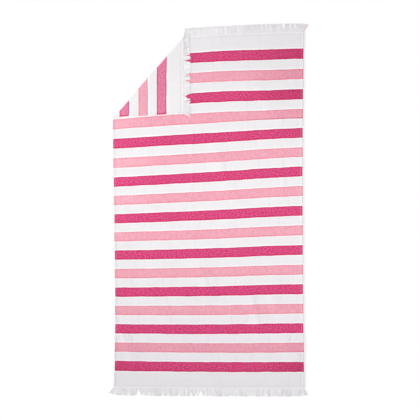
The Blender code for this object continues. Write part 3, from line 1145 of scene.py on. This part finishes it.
# Gaps in the fringes: where along the fringe, how far the tips part, which way
# the gap leans, and how wide a stretch of yarn is pushed aside
bottomNotches = (
    (12, 2.2, 0, 9), (22, 2.5, 0, 8), (47, 2.5, 1, 9), (71, 4.3, 0, 9), (121, 10.5, -3, 24),
    (144, 3.1, 1, 8), (168, 4.3, 0, 9), (186, 2.5, 1, 8), (232, 4.3, 0, 10),
    (258, 2.2, 2, 8), (279, 3.1, 2, 9), (310, 2.0, 0, 8), (344, 2.2, 1, 8),
    (369, 5.0, -2, 11), (387, 5.0, 1, 10), (414, 9.0, -4, 21), (432, 3.1, 0, 8),
    (452, 3.4, 0, 10), (480, 1.9, 1, 8), (520, 1.9, 2, 8), (588, 2.0, -2, 9),
    (641, 2.8, 0, 9), (654, 2.5, 1, 8), (720, 1.9, 2, 8), (762, 1.7, 0, 8),
    (803, 2.0, -1, 9), (846, 1.9, 0, 8),
)
topNotches = (
    (392, 1.2, 0, 8), (420, 1.2, 2, 8), (486, 1.1, -2, 9), (560, 1.3, 1, 9),
    (602, 1.1, 0, 8), (650, 1.2, 2, 8), (700, 1.3, 0, 8), (742, 1.3, -1, 8),
    (803, 4.8, 0, 10), (832, 1.4, 3, 8), (850, 1.6, 3, 8),
)
flapNotches = (
    (20, 1.4, 0, 8), (36, 1.4, 2, 8), (44, 6.5, 0, 11), (60, 2.8, 0, 6), (75, 9.0, 0, 15),
    (100, 1.5, 0, 8), (118, 1.8, 0, 8), (142, 4.4, -2, 9), (166, 4.4, 2, 9),
    (196, 1.6, 0, 8), (212, 1.6, -2, 8), (228, 2.6, -4, 9), (247, 2.2, 1, 8),
    (262, 1.6, 2, 9), (276, 1.4, 0, 8), (292, 1.6, 0, 8), (318, 1.8, 0, 9),
)


def makeClumps(plan, dice):
    edges = [plan["from"]]
    while edges[-1] < plan["to"]:
        edges.append(edges[-1] + dice.uniform(*fringe["clump"]))
    return [
        {
            "middle": (low + high) / 2,
            "half": (high - low) / 2,
            "lean": dice.uniform(-1, 1) * plan["lean"],
            "longer": dice.uniform(-1, 1),
            "pale": dice.random() < fringe["paleClumps"],
            "shadedFrom": dice.uniform(*fringe["shadedFrom"]),
        }
        for low, high in zip(edges, edges[1:])
    ]


def partAt(tip, notches):
    # how far a gap pushes a tip aside
    total = 0
    for row in notches:
        at, push, lean, wide = (value * mm for value in row)
        offset = tip + total - at - lean
        if abs(offset) < wide:
            way = 1 if offset > 0 else -1
            total += way * push * (1 - abs(offset) / wide)
    return total


def yarnTone(root, share, clump, shadeByPlace, dice):
    # which of the yarn materials a yarn takes, share of the way out in its lock: the darker
    # copy paints shade at a lock's sides, and by place lighter or darker copies paint light and
    # shade along the fringe, besides tones at random
    tone = 2 if share > clump["shadedFrom"] else (0 if clump["pale"] else 1)
    if dice.random() < fringe["oddTones"]:
        tone = dice.choice((0, 1, 2))
    # painted light and shade by place along the fringe: a darker copy, or a lighter one below 0
    darker = between(shadeByPlace, root / mm)
    if dice.random() < abs(darker):
        tone = min(2, max(0, tone + (1 if darker > 0 else -1)))
    return tone


def fringeYarns(plan, dice):
    # each yarn's root and tip across the towel, how far a gap parts it, its
    # length, how high it lies in its lock and its tone
    clumps = makeClumps(plan, dice)
    ends = (plan["from"], plan["to"])
    count = int((ends[1] - ends[0]) / fringe["pitch"])
    yarns = []
    for number in range(count):
        root = ends[0] + (ends[1] - ends[0]) * (number + 0.5) / count
        scatter = fringe["rootScatter"]
        root += dice.uniform(-scatter, scatter) * fringe["pitch"]
        clump = min(clumps, key=lambda one: abs(one["middle"] - root))
        slow = fringe["slowLean"] * math.sin(2 * math.pi * root / fringe["slowEvery"])
        offset = root - clump["middle"]
        tip = clump["middle"] + offset * fringe["clumpDraw"] + clump["lean"] + slow
        parted = partAt(tip, plan["notches"])
        tip += dice.gauss(0, fringe["tipScatter"])
        for end, (flare, wide) in zip(ends, plan["flares"]):
            spread = max(0, 1 - abs(root - end) / wide)
            tip += flare * spread**1.6 - (clump["lean"] + slow) * spread
        length = plan["length"] + fringe["clumpLonger"] * clump["longer"]
        length += dice.gauss(0, 0.5) * fringe["lengthSpread"]
        length -= fringe["partedShorter"] * abs(parted)
        aside = min(abs(tip + parted - root), fringe["mostAside"] * length)
        reach = math.sqrt(length**2 - aside**2)
        share = min(1, abs(offset) / clump["half"])
        high = fringe["clumpHigh"] * (1 - share * share)
        tone = yarnTone(root, share, clump, plan["shadeByPlace"], dice)
        yarns.append((root, tip, parted, reach, high, tone))
    if plan["pinkYarns"]:
        pink = yarns[-plan["pinkYarns"] :]
        yarns[-plan["pinkYarns"] :] = [(*yarn[:-1], 3) for yarn in pink]
    return yarns


def yarnPoints(yarn, plan, dice):
    # the yarn's path, from inside the header out to its tip
    root, tip, parted, length, high = yarn[:-1]
    outer = 0 if plan["atTop"] else towel["length"]
    side = 1 if plan["atTop"] else -1
    start = laidFlat(root, outer)
    past = pastFold(start) if plan["atTop"] else -1
    scatter = fringe["layerScatter"]
    layer = dice.choice(fringe["layers"]) + dice.uniform(-scatter, scatter) + high
    phase = dice.uniform(0, 2 * math.pi)
    curl = max(0, dice.gauss(0, 1)) * fringe["curl"]
    rootPoint, faceWay = foldOver(start, towel["headerThick"])
    rootPoint = rootPoint + faceWay * towel["headerThick"] / 2
    points = []
    for step in range(fringe["points"]):
        share = step / (fringe["points"] - 1)
        reach = length * share - fringe["rootInside"] * (1 - share)
        gap = smooth((share - fringe["partFrom"]) / plan["partOver"])
        sideways = (tip - root) * share ** plan["bend"] + parted * gap
        sideways += fringe["waver"] * math.sin(phase + 5 * share) * share
        place = laidFlat(root + sideways, outer)
        if past <= 0:
            point = Vector((place.x, place.y + side * reach, 0))
            low = layer
        elif past < rollArc:
            # round the fold the yarns fan out, from upward to the right
            least, most = fringe["fan"]
            fan = math.radians(least + most * smooth(2 * past / rollArc - 0.9))
            way = Vector((math.sin(fan), math.cos(fan)))
            aside = Vector((way.y, -way.x)) * sideways * (past / rollArc) ** 4
            point = (rootPoint.to_2d() + way * reach + aside).to_3d()
            low = layer + towel["thick"] + fringe["fanHigh"]
        else:
            place.y += reach
            point = foldOver(place, towel["headerThick"])[0]
            low = clothHeight(point.to_2d()) + towel["thick"] + layer
        settled = smooth(share * fringe["settle"])
        point.z = rootPoint.z * (1 - settled) + low * settled + curl * share**3
        points.append(point)
    return points


def addPath(curve, points):
    spline = curve.splines.new("POLY")
    spline.points.add(len(points) - 1)
    for point, knot in zip(points, spline.points):
        knot.co = (*point, 1)
    return spline


def linkNew(name, data):
    piece = bpy.data.objects.new(name, data)
    bpy.context.scene.collection.objects.link(piece)
    return piece


def makeFringe(plan, yarns, materials, dice):
    curve = bpy.data.curves.new(plan["name"], "CURVE")
    curve.dimensions = "3D"
    curve.bevel_depth = fringe["yarnRadius"]
    curve.bevel_resolution = 1
    curve.use_fill_caps = True
    for material in materials:
        curve.materials.append(material)
    for yarn in yarns:
        spline = addPath(curve, yarnPoints(yarn, plan, dice))
        spline.material_index = yarn[-1]
        full = dice.uniform(*fringe["yarnThickness"])
        for number, knot in enumerate(spline.points):
            # a little thicker outward, and thin again at the tip
            share = number / (fringe["points"] - 1)
            knot.radius = full * (0.85 + 0.3 * share - 2 * max(0, share - 0.85))
    pick(linkNew(plan["name"], curve))
    bpy.ops.object.convert(target="MESH")
    bpy.ops.object.shade_smooth()
    return bpy.context.object


stitching = {
    "pitch": 3.4 * mm,
    "long": 2.7 * mm,
    "radius": 0.3 * mm,
    "proud": 0.05 * mm,
    "lineStep": 12 * mm,
}


def clothPoint(across, along, onFace):
    thick = clothThick(across, along)
    point, faceWay = foldOver(laidFlat(across, along), thick)
    if onFace:
        return point + faceWay * (thick + stitching["proud"])
    return point - faceWay * stitching["proud"]


def seamLine(first, last, onFace):
    steps = max(2, int((Vector(last) - Vector(first)).length / stitching["lineStep"]))
    points = []
    for step in range(steps + 1):
        place = Vector(first).lerp(Vector(last), step / steps)
        points.append(clothPoint(place.x, place.y, onFace))
    return points


def makeStitchLine(name, points, material):
    # one stitch, repeated along the seam by an array and a curve
    deselectAll()
    bpy.ops.mesh.primitive_uv_sphere_add(
        segments=6, ring_count=5, radius=0.5, rotation=(0, math.pi / 2, 0)
    )
    stitch = bpy.context.object
    stitch.name = name
    bpy.ops.object.transform_apply(location=True, rotation=True, scale=True)
    stitch.scale = (stitching["long"], 2 * stitching["radius"], 2 * stitching["radius"])
    bpy.ops.object.transform_apply(location=True, rotation=True, scale=True)
    curve = bpy.data.curves.new(name + "Path", "CURVE")
    curve.dimensions = "3D"
    curve.twist_mode = "Z_UP"
    addPath(curve, points)
    path = linkNew(name + "Path", curve)
    rows = stitch.modifiers.new("row", "ARRAY")
    rows.fit_type = "FIT_CURVE"
    rows.curve = path
    rows.use_relative_offset = False
    rows.use_constant_offset = True
    rows.constant_offset_displace = (stitching["pitch"], 0, 0)
    follow = stitch.modifiers.new("follow", "CURVE")
    follow.object = path
    applyModifiers(stitch)
    bpy.ops.object.shade_smooth()
    stitch.data.materials.append(material)
    bpy.data.objects.remove(path, do_unlink=True)
    return stitch


# Where the seams and headers cross the fold, on the flat cloth
seam, deep = towel["seamIn"], towel["headerDeep"]
wide, long = towel["width"], towel["length"]


def crossing(pastWanted, longest, placeAt):
    # how far along a line of the cloth it is pastWanted beyond the fold
    near, far = 0, longest
    for _ in range(40):
        middle = (near + far) / 2
        beyond = pastFold(placeAt(middle)) > pastWanted
        near, far = (middle, far) if beyond else (near, middle)
    return near


def headerCrossing(pastWanted):
    return crossing(pastWanted, wide, lambda across: laidFlat(across, 0))


def selvedgeCrossing(pastWanted):
    return crossing(pastWanted, long, lambda along: laidFlat(seam, along))


sheet = makeTowel(makeFaceMaterial(), makeReverseMaterial())
print("towel sheet:", len(sheet.data.polygons), "faces")

split = headerCrossing(-2 * mm)
edgeInset = 0.6 * mm
fringePlans = {
    "fringe_bottom": {
        "name": "fringeBottom",
        "atTop": False,
        "from": edgeInset,
        "to": wide - edgeInset,
        "notches": bottomNotches,
        "flares": ((-24 * mm, 60 * mm), (18 * mm, 30 * mm)),
        # painted light and shade by place along the fringe: the share of yarns that take the
        # next darker copy, below 0 the next lighter one
        "shadeByPlace": ((0, 0.6), (250, 0.3), (450, 0.1), (700, 0.3), (900, 0.6)),
        "pinkYarns": 0,
        "length": 36.5 * mm,
        "lean": 1.3 * mm,
        "bend": 0.95,
        "partOver": 0.65,
        "seed": 21,
    },
    "fringe_top": {
        "name": "fringeTop",
        "atTop": True,
        "from": split,
        "to": wide - edgeInset,
        "notches": topNotches,
        "flares": ((-10 * mm, 24 * mm), (20 * mm, 50 * mm)),
        # painted light and shade by place along the fringe, as for the bottom fringe
        "shadeByPlace": ((330, -0.4), (500, 0), (650, 0.4), (900, 1)),
        "pinkYarns": 2,
        "length": 38 * mm,
        "lean": 1.6 * mm,
        "bend": 1.6,
        "partOver": 0.3,
        "seed": 22,
    },
    "fringe_flap": {
        "name": "fringeFlap",
        "atTop": True,
        "from": edgeInset,
        "to": split,
        "notches": flapNotches,
        "flares": ((-13 * mm, 60 * mm), (30 * mm, 120 * mm)),
        # painted light and shade by place along the fringe, as for the bottom fringe
        "shadeByPlace": ((0, 0.3), (120, 0), (200, -0.4), (360, -0.8)),
        "pinkYarns": 0,
        "length": 35 * mm,
        "lean": 5 * mm,
        "bend": 1.25,
        "partOver": 0.5,
        "seed": 23,
    },
}
yarnMaterials = [
    makeYarnMaterial("yarnBright", "yarnBright"),
    makeYarnMaterial("yarnMiddle", "yarnMiddle"),
    makeYarnMaterial("yarnShaded", "yarnShaded"),
    makeYarnMaterial("yarnPink", "selvedgePink"),
]
fringes = {}
for node, plan in fringePlans.items():
    dice = random.Random(plan["seed"])
    yarns = fringeYarns(plan, dice)
    piece = makeFringe(plan, yarns, yarnMaterials, dice)
    fringes[node] = piece
    print(plan["name"], len(yarns), "yarns,", len(piece.data.polygons), "faces")

bodyTop = selvedgeCrossing(-3 * mm)
flapLow = selvedgeCrossing(rollArc + 3 * mm)
headerOnBody = headerCrossing(-9 * mm)
headerOnFlap = headerCrossing(rollArc + 9 * mm)
seamPlans = (
    ("seamLeft", (seam, long - deep), (seam, bodyTop), True),
    ("seamRight", (wide - seam, long - deep), (wide - seam, deep), True),
    ("seamBottom", (seam, long - deep), (wide - seam, long - deep), True),
    ("seamTop", (headerOnBody, deep), (wide - seam, deep), True),
    ("seamFlapSide", (seam, flapLow), (seam, deep), False),
    ("seamFlapEnd", (seam, deep), (headerOnFlap, deep), False),
)
threadMaterial = makeThreadMaterial()
seams = []
for name, first, last, onFace in seamPlans:
    seams.append(makeStitchLine(name, seamLine(first, last, onFace), threadMaterial))
pick(seams[0])
for piece in seams[1:]:
    piece.select_set(True)
bpy.ops.object.join()
stitches = bpy.context.object
stitches.name = "seamStitches"
print("stitches:", len(stitches.data.polygons), "faces")

for piece in [sheet, stitches, *fringes.values()]:
    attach(piece, "root")
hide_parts("towel_cloth")
for node, piece in fringes.items():
    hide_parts(node)

studio = {
    "floorSize": 9,
    "floorDrop": 0.3 * mm,
    "floorWhite": 1.012,  # as bright as the floor looks away from the towel
    "worldLight": 0.387,
    "worldTint": (1.0, 0.972, 1.0, 1.0),
    "stripPlace": Vector((0.3, 0.10, 1.75)),
    "stripSize": (6.0, 0.6),
    "stripTurn": math.radians(-16),
    "stripPower": 38.1,
    "floorStrip": 0.4987,  # how much light the floor sends on from the strip light
    "floorEven": 0.474,  # and from the rest
    "floorSide": -0.0437,  # how that changes for each metre to the right
    "floorLong": -0.011,  # for each metre up the picture
    "floorCorner": 0.014,  # and for one multiplied by the other
    "sidePlace": Vector((-8, -1.3, 2.3)),
    "sideSize": (2.4, 1.2),
    "sidePower": 432,
    "cameraHeight": 7,
    "metresAcross": 1.98954,  # what the picture takes in
    "pictureCentre": (2.4 * mm, 0.5 * mm),
}


def makeFloor():
    deselectAll()
    bpy.ops.mesh.primitive_plane_add(size=studio["floorSize"])
    bpy.ops.transform.translate(value=(0, 0, -studio["floorDrop"]))
    floor = bpy.context.object
    floor.name = "floor"
    material, tree, shader = newMaterial("paleFloor", 1.0)
    fill(tree, shader.inputs, {"Base Color": (0.9, 0.9, 0.9, 1), "Emission Strength": 1})
    # a glow that makes up for the strip light's fall away from its line
    where = addNode(tree, "ShaderNodeTexCoord")["Object"]
    strip = studio["stripPlace"]
    given = {
        "Vector": where,
        "Location": (strip.x, strip.y, 0),
        "Rotation": (0, 0, studio["stripTurn"]),
    }
    turned = addNode(tree, "ShaderNodeMapping", given, vector_type="TEXTURE")[0]
    aside = calc(tree, "DIVIDE", splitPlace(tree, turned)["Y"], strip.z)
    spread = calc(tree, "MULTIPLY_ADD", aside, aside, 1.0)
    lit = times(tree, calc(tree, "POWER", spread, -1.5), studio["floorStrip"])
    lit = plus(tree, lit, studio["floorEven"])
    spot = splitPlace(tree, where)
    corner, down = studio["floorCorner"], studio["floorLong"]
    slant = calc(tree, "MULTIPLY_ADD", spot["X"], corner, down)
    lit = calc(tree, "MULTIPLY_ADD", spot["Y"], slant, lit)
    lit = calc(tree, "MULTIPLY_ADD", spot["X"], studio["floorSide"], lit)
    glow = calc(tree, "SUBTRACT", studio["floorWhite"], lit, clamp=True)
    fill(tree, shader.inputs, {"Emission Color": joinColour(tree, glow, glow, glow)})
    floor.data.materials.append(material)


def makeLight(name, place, long, deep, turn, power):
    data = bpy.data.lights.new(name, "AREA")
    data.shape = "RECTANGLE"
    data.size = long
    data.size_y = deep
    data.energy = power
    lamp = linkNew(name, data)
    lamp.location = place
    lamp.rotation_euler = turn


def makeCamera():
    data = bpy.data.cameras.new("overhead")
    data.sensor_width = 36
    data.lens = data.sensor_width * studio["cameraHeight"] / studio["metresAcross"]
    camera = linkNew("overhead", data)
    camera.location = (*studio["pictureCentre"], studio["cameraHeight"])
    bpy.context.scene.camera = camera


def makeSky():
    world = bpy.data.worlds.new("studio")
    world.use_nodes = True
    sky = world.node_tree.nodes["Background"]
    sky.inputs["Color"].default_value = studio["worldTint"]
    sky.inputs["Strength"].default_value = studio["worldLight"]
    bpy.context.scene.world = world


makeFloor()
stripTurn = (0, 0, studio["stripTurn"])
sideTurn = (-studio["sidePlace"]).to_track_quat("-Z", "Y").to_euler()
for name, turn in (("strip", stripTurn), ("side", sideTurn)):
    place, size, power = (studio[name + what] for what in ("Place", "Size", "Power"))
    makeLight(name + "Box", place, *size, turn, power)
makeSky()
makeCamera()
bpy.context.scene.view_settings.view_transform = "Standard"
